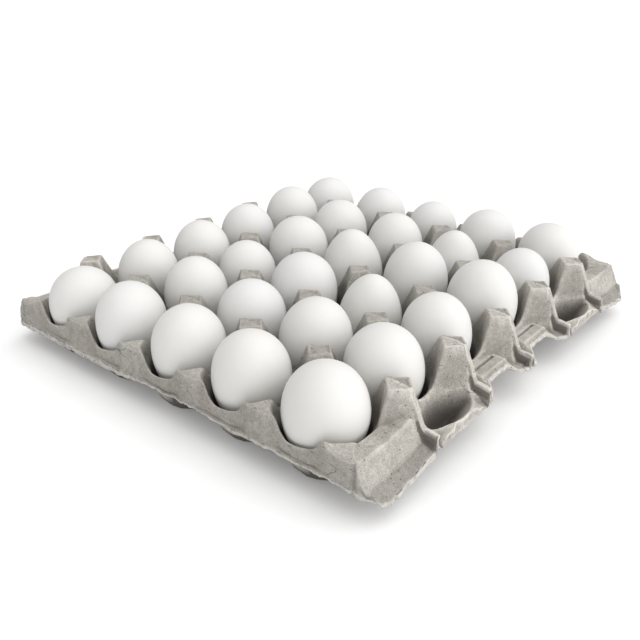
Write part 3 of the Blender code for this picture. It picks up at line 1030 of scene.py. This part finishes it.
def pulp_finish():
    material, graph = new_finish("grey_pulp")
    place = graph.node("ShaderNodeTexCoord", output="Object")
    clouds, mottle, grain = (graph.noise(place, size, 3.0) for size in (CLOUD, MOTTLE, GRAIN))
    # Two of these marks are painted light and shade: a painted highlight on crests with painted shade in
    # hollows, and painted shade in deep places and on faces the light misses.
    painted_edge_shading, torn, painted_shade = (attribute(graph, name) for name in ("painted_edge_shading", "torn", "painted_shade"))
    fibres = fibre_lines(graph, place)
    tone = PLAIN_TONE + (clouds - 0.5) * CLOUD_TONE + (mottle - 0.5) * MOTTLE_TONE
    # The tone takes the painted highlight on crests and the painted shade in hollows.
    tone = tone + (grain - 0.5) * GRAIN_TONE + painted_edge_shading * EDGE_SHADING_TONE + (fibres - 0.3) * FIBRE_TONE
    near_tear = graph.ease(abs(torn - 0.4), 0.25, 0.05)
    cracks = hairlines(graph, place, CRACK_SIZE, CRACK_SHARE)
    layers = (
        (graph.ease(graph.noise(place, 24.0, 2.0), 0.52, 0.75) * 0.45, PULP_PINK),
        # Painted shade: deep and low places, recesses and faces the light misses, and then the sides of the
        # ribs.
        (painted_shade * 0.92, PULP_PAINTED_SHADE),
        (graph.ease(attribute(graph, "wall"), 0.15, 0.4) * 0.75, PULP_RIB_SHADE),
        (torn * graph.ease(mottle, 0.2, 0.6) * 0.75, PULP_TORN),
        (specks(graph, place, 3.4, 0.38) * 0.75, PULP_SPECK),
        (specks(graph, place, 1.3, 0.22) * 0.4, PULP_SPECK),
        (dashes(graph, place) * 0.7, PULP_SPECK),
        (near_tear * graph.ease(graph.noise(place, 3.5, 1.0), 0.48, 0.56) * 0.75, PULP_SPECK),
        (cracks * 0.5, PULP_SPECK),
    )
    colour = graph.blend(graph.ease(tone, -0.25, 1.25), PULP_DARK, PULP_PALE)
    for share, shade in layers:
        colour = graph.blend(share, colour, shade)
    height = mottle + grain * 0.8 + fibres * 0.25 - cracks * 0.8
    show(graph, {"Base Color": colour, "Roughness": 0.86 + mottle * 0.12, "Specular IOR Level": 0.25,
                 "Normal": graph.bump(height, 0.65, 0.5)})
    return material


grey_pulp = pulp_finish()
print("grey pulp has", len(grey_pulp.node_tree.nodes), "nodes")

# %% [markdown]
# ## Dents in the pulp
#
# Pulp shrinks and warps as it dries, so no wall is quite flat and no crest quite
# straight. Moving every point a little along its normal, by noise, does that to
# the whole shell at once. The result is then held inside the tray's own box, so
# that it still stands flat on its cups and keeps its size.

# %% Dents, and the finished tray
tray_top = tray_high * (1, 1, 0) + (0, 0, POST_TOP + WARP_RISE)
PULP_BOX = {"Lowest": tuple(tray_low * MM), "Highest": tuple(tray_top * MM)}


def dents():
    graph = ShapeGraph("dents", {"Warp": 0.45 * MM, "Warp Size": 13.0 * MM,
                                 "Dent": 0.24 * MM, "Dent Size": 3.6 * MM, **PULP_BOX})
    place = graph.node("GeometryNodeInputPosition")
    normal = graph.node("GeometryNodeInputNormal")
    push = graph.lumps("Warp", "Warp Size") + graph.lumps("Dent", "Dent Size")
    dented = graph.held(place + graph.scaled(normal, push))
    graph.finish(graph.moved(graph.given("Geometry"), Position=dented))
    return graph


pulp_tray = grow(plain_tray, dents(), grey_pulp, "pulp_tray")
bpy.data.objects.remove(plain_tray)

# %% [markdown]
# ## Marks that follow the shape
#
# The finish asks where highlight and shade are painted on the pulp, where it is
# torn, and where shade is painted on a rib's wall. Ambient occlusion or
# pointiness nodes could guess at that, but an export may drop them. Here each
# mark is worked out with numpy for every point and stored on the mesh. The
# painted highlight on crests and the shade in hollows follow how sharply the
# surface bends. The others follow from where a point lies, by the same
# distances that shaped the tray.

# %% How sharply the surface bends
EDGE_SHADING_REACH = 0.55               # a crest of this curvature, per mm, gets the full painted highlight
# hollows get painted shade, down to this share of the full tone
HOLLOW_SHADE = -0.35
END_EDGE_SHADING = 0.35                 # the ends and the roofs between the eggs get only a little of the painted highlight and shade
SHORT = 0.2                     # edges shorter than this count as this long


def values_of(items, name, width, kind=float):
    """One property of every item of a mesh, in rows of this many numbers."""
    values = np.empty(len(items) * width, dtype=kind)
    items.foreach_get(name, values)
    return values.reshape(-1, width)


def gather(values, edges, count):
    """The mean over each point's edges of the value at this end of each edge."""
    total = np.zeros(count)
    times = np.zeros(count)
    for end in (0, 1):
        np.add.at(total, edges[:, end], values[:, end])
        np.add.at(times, edges[:, end], 1)
    return total / np.maximum(times, 1)


def curvature(mesh):
    """Above 0 on crests and below 0 in hollows, at each point, per mm."""
    points = values_of(mesh.vertices, "co", 3) / MM
    normals = values_of(mesh.vertices, "normal", 3)
    edges = values_of(mesh.edges, "vertices", 2, int)
    near, far = edges.T
    step = points[far] - points[near]
    length = np.maximum((step ** 2).sum(axis=1), SHORT ** 2)
    bends = np.column_stack([-2 * (step * normals[near]).sum(axis=1) / length,
                             2 * (step * normals[far]).sum(axis=1) / length])
    bend = gather(bends, edges, len(points))
    at_other_end = bend[edges[:, ::-1]]
    return (bend + gather(at_other_end, edges, len(points))) / 2, points


# %% Where shade is painted on the pulp, and where it is cut
# How much painted shade the corner lips, end walls, roof backs, inner posts, fronts, bars and slots get.
LIP_SHADE, END_SHADE, ROOF_SHADE, INNER_SHADE = 0.38, 0.22, 0.25, 0.22
FRONT_SHADE, BAR_SHADE, SLOT_SHADE = 0.08, 0.14, 0.85
BESIDE_EGG = ((12.0, 1.0), (24.0, 0.75), (38.0, 0.36), (44.0, 0.12))    # height, and painted shade
# Heights or distances where painted shade begins, and where it is full.
DEEP_CUP, DEEP_HALF_CUP, FOOT = (36.0, 12.0), (25.0, 12.5), (12.0, 9.0)
INNER_ABOVE, FRONT_ABOVE, FRONT_BEFORE = (15.0, 25.0), (24.0, 30.0), (4.0, 8.0)
EGG_SIDE, LIP_OUTSIDE, BAR_OUTSIDE, IN_SLOT = (-3.0, -7.0), (15.4, 16.6), (3.0, 6.0), (1.2, 0.5)
RIB_WALL, RIB_OUTSIDE, BELOW_CREST = (1.4, 0.9), (10.5, 13.5), (0.3, 1.3)
CORNER_RIM, NOTCH_RIM, RIM_OUTSIDE = (1.3, 0.3), (1.2, 0.3), (11.0, 14.0)
CUT_SHARE, CORNER_SHARE = 0.8, 0.3


def painted_shade_at(points):
    """Painted shade: deep in the cups, low down, beside the eggs, in the slots and on faces the light
    misses.
    """
    x, y, z = points.T
    row, across, out = place_in_tray(x, y)
    kind = STRIP_KINDS[row]
    behind = behind_post(y)
    half_cup = (kind == HALF_CUP) & (out > 0) & (out < 20.5)
    deep = np.maximum(fade(z, *DEEP_CUP) * (out < -1.0), fade(z, *DEEP_HALF_CUP) * half_cup)
    before_end = fade(np.abs(y), END_ROOF_FROM + 2.0, END_ROOF_FROM - 2.0)
    inner = fade(np.abs(x), STRIP_START - 7.0, STRIP_START - 12.0) * fade(z, *INNER_ABOVE)
    front = fade(-behind, *FRONT_BEFORE) * fade(z, *FRONT_ABOVE) * (out > -10.0)
    return np.maximum.reduce([
        deep * (np.abs(y) < END - 4.0),
        fade(z, *FOOT),
        np.interp(z, *np.array(BESIDE_EGG).T) * fade(out, *EGG_SIDE) * before_end,
        (kind == PANEL) * fade(out, *LIP_OUTSIDE) * LIP_SHADE,
        fade(np.abs(behind - 4.5), 4.5, 3.5) * (z > 40.0) * ROOF_SHADE,
        fade(np.abs(y), EDGE_Y - 2.6, EDGE_Y - 1.0) * END_SHADE,
        inner * (np.abs(y) < END - 15.0) * INNER_SHADE,
        front * (1.0 + (kind == PANEL)) * FRONT_SHADE,
        (kind == NOTCH) * fade(out, *BAR_OUTSIDE) * (z < 27.0) * BAR_SHADE,
        (kind == NOTCH) * fade(np.abs(out - SLOT_AT), *IN_SLOT) * (z < 24.2) * SLOT_SHADE,
    ])


def rib_wall_shade(points):
    """1 where shade is painted on the sides of the ribs, and 0 on their crests."""
    x, y, z = points.T
    row, across, out = place_in_tray(x, y)
    from_rib = np.where(row < 5, HALF - across, PITCH)
    from_rib = np.where(row > 0, np.minimum(from_rib, HALF + across), from_rib)
    beside = fade(np.abs(from_rib - RIB_HALF - 0.75), *RIB_WALL) * fade(out, *RIB_OUTSIDE)
    return beside * fade(rib_crest(out) + lift(x, y) - z, *BELOW_CREST)


def cut_rim(points):
    """1 on the rim of the corner panels and the notches, where the pulp was cut."""
    x, y, _ = points.T
    row, across, out = place_in_tray(x, y)
    past_x = np.abs(x) - EDGE_X + PLAN_CORNER
    past_y = np.abs(y) - EDGE_Y + PLAN_CORNER
    in_corner = (past_x > 0) & (past_y > 0)
    inside = PLAN_CORNER - np.where(in_corner, np.hypot(past_x, past_y), np.maximum(past_x, past_y))
    corner = fade(inside, *CORNER_RIM) * (STRIP_KINDS[row] == PANEL) * fade(out, *RIM_OUTSIDE) * CORNER_SHARE
    notch = fade(notch_reach(across) - out, *NOTCH_RIM) * (STRIP_KINDS[row] == NOTCH) * (out > NOTCH_FROM)
    return np.maximum(corner, notch) * CUT_SHARE


def mark(mesh, name, values):
    """Stores values on the mesh's points; marks that are there already stay where they are higher."""
    if name in mesh.attributes:
        values = np.maximum(values, values_of(mesh.attributes[name].data, "value", 1)[:, 0])
    else:
        mesh.attributes.new(name, "FLOAT", "POINT")
    mesh.attributes[name].data.foreach_set("value", values.astype(np.float32))


bend, tray_points = curvature(pulp_tray.data)
# Painted highlight on crests and painted shade in hollows, weaker at the ends and on the roofs between the
# eggs.
at_end = fade(np.abs(tray_points[:, 1]), END_ROOF_FROM, END_ROOF_FROM + 5.0)
at_roof = (np.abs(tray_points[:, 0]) < STRIP_START - 10.0) * fade(tray_points[:, 2], 40.0, 43.0)
edge_shading_share = mix(1.0, END_EDGE_SHADING, np.maximum(at_end, at_roof))
mark(pulp_tray.data, "painted_edge_shading", np.clip(bend / EDGE_SHADING_REACH, HOLLOW_SHADE, 1.0) * edge_shading_share)
# Painted shade deep and low down, beside the eggs and on faces the light misses.
mark(pulp_tray.data, "painted_shade", painted_shade_at(tray_points))
mark(pulp_tray.data, "torn", cut_rim(tray_points))
# Painted shade on the sides of the ribs.
mark(pulp_tray.data, "wall", rib_wall_shade(tray_points))
print("curvature from", bend.min().round(2), "to", bend.max().round(2), "per mm")

# %% [markdown]
# ## Loose fibres
#
# Along a torn edge single fibres stick out, and a few lie on the walls. Each is
# a thin bent thread, and there are some thousands, so a tree scatters one short
# three-sided thread over the tray: thickly where the mesh is marked as torn,
# and thinly elsewhere. A fixed seed keeps every thread in its place.

# %% The tree that scatters fibres
FIBRE_SEED = 4


def thread(graph):
    """One bent thread of three sides, lying along X, with its ends closed."""
    half, bend = graph.given("Length") * 0.5, graph.given("Bend")
    line = graph.node("GeometryNodeCurveQuadraticBezier", None, {
        "Resolution": 4, "Start": graph.vector(X=half * -1.0), "Middle": graph.vector(Y=bend, Z=bend),
        "End": graph.vector(X=half)})
    ring = graph.node("GeometryNodeCurvePrimitiveCircle", None,
                      {"Resolution": 3, "Radius": graph.given("Thickness") * 0.5})
    return graph.node("GeometryNodeCurveToMesh", None,
                      {"Curve": line, "Profile Curve": ring, "Fill Caps": True})


def chance(graph, low, high, seed):
    """A random vector for each point."""
    return graph.node("FunctionNodeRandomValue", {"data_type": "FLOAT_VECTOR"},
                      {"Min": low, "Max": high, "Seed": seed})


def fibre_tree():
    graph = ShapeGraph("fibres", {"Length": 1.9 * MM, "Thickness": 0.085 * MM, "Bend": 0.3 * MM,
                                  "Each Torn Square Metre": 900000.0, "Each Square Metre": 7000.0,
                                  **PULP_BOX})
    amount = graph.read("torn") * graph.given("Each Torn Square Metre") + graph.given("Each Square Metre")
    scatter = {"Mesh": graph.given("Geometry"), "Density": amount, "Seed": FIBRE_SEED}
    spots = graph.node("GeometryNodeDistributePointsOnFaces", None, scatter)
    upright = Socket(graph, find(spots.output.node.outputs, "Rotation"))
    spin = chance(graph, (-0.3, -0.3, 0.0), (0.3, 0.3, 6.28), 5)
    turned = graph.node("FunctionNodeRotateRotation", {"rotation_space": "LOCAL"},
                        {"Rotation": upright, "Rotate By": spin})
    sizes = chance(graph, (0.35, 0.5, -0.6), (1.1, 1.2, 1.2), 6)
    placed = graph.node("GeometryNodeInstanceOnPoints", None,
                        {"Points": spots, "Instance": thread(graph), "Rotation": turned, "Scale": sizes})
    real = graph.node("GeometryNodeRealizeInstances", None, {"Geometry": placed})
    place = graph.held(graph.node("GeometryNodeInputPosition"))
    graph.finish(graph.moved(real, Position=place))
    return graph


# %% The finish of a fibre, and the fibres
def fibre_finish():
    material, graph = new_finish("pale_fibre")
    place = graph.node("ShaderNodeTexCoord", output="Object")
    colour = graph.blend(graph.ease(graph.noise(place, 3.0), 0.3, 0.7), PULP_PALE, PULP_TORN)
    show(graph, {"Base Color": colour, "Roughness": 0.9, "Specular IOR Level": 0.2})
    return material


pulp_fibres = grow(pulp_tray, fibre_tree(), fibre_finish(), "pulp_fibres")

# %% [markdown]
# ## Eggs
#
# An egg is a sphere that is drawn out and made fuller towards one end. All
# thirty follow the same rule and differ in size, in which end is up and in the
# way they lean, so one node tree makes them all: it shapes one egg and sets a
# copy on each point, turned and scaled by the point's own attributes. Each egg
# stands on the bottom of its cup and leans about its foot.

# %% Sizes and leans of the eggs, from above with the last row first
EGG_GIRTHS = ("32033", "33200", "24334", "21412", "22334", "43334")     # slim (0) to stout (4)
EGG_HEIGHTS = ("11022", "32210", "22344", "20212", "22122", "02222")    # short (0) to tall (4)
EGG_LEANS = ("->+<-", "<<>.+", "-..>>", ".-<+.", ">>.><", ".....")      # to one corner post or the other
NARROW_END_UP = ((3, 4), (4, 3), (5, 4))                                # row and column, counted from 1
EGG_RADIUS = (18.70, 19.35, 20.00, 20.65, 21.30)
EGG_LENGTH = (51.0, 52.8, 54.6, 56.4, 58.2)
EGG_TAPER = 0.10
EGG_FLOOR = 2.2
LEAN_STEPS = {"-": -3.5, "<": -1.8, ".": 0.0, ">": 1.8, "+": 3.5}       # degrees
LEAN_BEARING = math.radians(40)
WOBBLE = math.radians(1.0)
WOBBLE_TURN = 2.4


def tilt(angle, bearing):
    """The turn that leans an upright egg towards a bearing."""
    return Matrix.Rotation(angle, 3, (-math.sin(bearing), math.cos(bearing), 0))


def egg_values(row, column):
    """Place, size and turn of one egg; row and column are counted from 1."""
    line = 6 - row
    radius = EGG_RADIUS[int(EGG_GIRTHS[line][column - 1])]
    length = EGG_LENGTH[int(EGG_HEIGHTS[line][column - 1])]
    turn = tilt(math.radians(LEAN_STEPS[EGG_LEANS[line][column - 1]]), LEAN_BEARING)
    turn = turn @ tilt(WOBBLE, WOBBLE_TURN * (column + 5 * row))
    foot = Vector(((column - 3) * PITCH, (row - 3.5) * PITCH, EGG_FLOOR))
    place = foot + turn @ Vector((0, 0, length / 2))
    if (row, column) in NARROW_END_UP:
        turn = turn @ Matrix.Rotation(math.pi, 3, "X")
    return tuple(place * MM), (radius * MM, radius * MM, length / 2 * MM), tuple(turn.to_euler())


def egg_points():
    """A mesh of thirty points that carries each egg's size and turn."""
    places, sizes, turns = zip(*[egg_values(row, column) for row in range(1, 7) for column in range(1, 6)])
    mesh = bpy.data.meshes.new("egg_points")
    mesh.from_pydata(places, [], [])
    for name, values in (("size", sizes), ("turn", turns)):
        layer = mesh.attributes.new(name, "FLOAT_VECTOR", "POINT")
        layer.data.foreach_set("vector", np.array(values, dtype=np.float32).ravel())
    return add_object("egg_points", mesh)


# %% The tree that makes the eggs
def egg_tree():
    graph = ShapeGraph("eggs", {"Taper": EGG_TAPER, "Unevenness": 0.7 * MM, "Lump Size": 22.0 * MM})
    ball = graph.node("GeometryNodeMeshIcoSphere", None, {"Radius": 1.0, "Subdivisions": 5})
    place = graph.node("GeometryNodeInputPosition")
    height = graph.node("ShaderNodeSeparateXYZ", None, {"Vector": place}, "Z")
    width = 1.0 + graph.given("Taper") * (height - 0.25)
    egg = graph.moved(ball, Position=place * graph.vector(X=width, Y=width, Z=1.0))
    turn = graph.node("FunctionNodeEulerToRotation", None, {"Euler": graph.read("turn", "FLOAT_VECTOR")})
    tint = graph.node("FunctionNodeRandomValue", None, {"Seed": 11}, 1)
    points = graph.node("GeometryNodeStoreNamedAttribute", None,
                        {"Geometry": graph.given("Geometry"), "Name": "tint", "Value": tint})
    laid = graph.node("GeometryNodeInstanceOnPoints", None, {
        "Points": points, "Instance": egg, "Rotation": turn, "Scale": graph.read("size", "FLOAT_VECTOR")})
    real = graph.node("GeometryNodeRealizeInstances", None, {"Geometry": laid})
    normal = graph.node("GeometryNodeInputNormal")
    uneven = graph.moved(real, Offset=graph.scaled(normal, graph.lumps("Unevenness", "Lump Size")))
    for name in ("size", "turn"):
        uneven = graph.node("GeometryNodeRemoveAttribute", None, {"Geometry": uneven, "Name": name})
    graph.finish(uneven)
    return graph


# %% [markdown]
# ## The finish of a shell
#
# A white eggshell is chalk under a very thin skin. It is nearly matt and looks
# even from far away, but close up it has fine pores, shallow dimples and faint
# warm clouds, and no two eggs are quite the same white. The tint of each egg is
# a value that its tree gave to every point of that egg.

# %% White eggshell
SHELL_COOL = (0.745, 0.742, 0.735, 1.0)
SHELL_WARM = (0.760, 0.748, 0.724, 1.0)
SHELL_PORE = (0.70, 0.685, 0.66, 1.0)


def shell_finish():
    material, graph = new_finish("white_eggshell")
    place = graph.node("ShaderNodeTexCoord", output="Object")
    clouds = graph.noise(place, 15.0, 2.0)
    dimples = graph.noise(place, 1.3, 2.0)
    chalk = graph.noise(place, 0.35, 1.0)
    pores = specks(graph, place, 0.9, 0.6)
    warmth = graph.ease(clouds + (attribute(graph, "tint") - 0.5) * 0.5, 0.2, 0.8)
    colour = graph.blend(warmth, SHELL_COOL, SHELL_WARM)
    colour = graph.blend(pores * 0.35 + graph.ease(chalk, 0.55, 0.75) * 0.12, colour, SHELL_PORE)
    height = dimples + chalk * 0.3 - pores * 0.5
    show(graph, {"Base Color": colour, "Roughness": 0.50 + clouds * 0.16, "Specular IOR Level": 0.35,
                 "Normal": graph.bump(height, 0.35, 0.08)})
    return material


egg_holder = egg_points()
eggs = grow(egg_holder, egg_tree(), shell_finish(), "eggs")
bpy.data.objects.remove(egg_holder)

# %% Hand the pieces to the frame
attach(pulp_tray, "root")
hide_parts("tray")
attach(pulp_fibres, "root")
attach(eggs, "root")
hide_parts(*[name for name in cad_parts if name.startswith("egg_")])
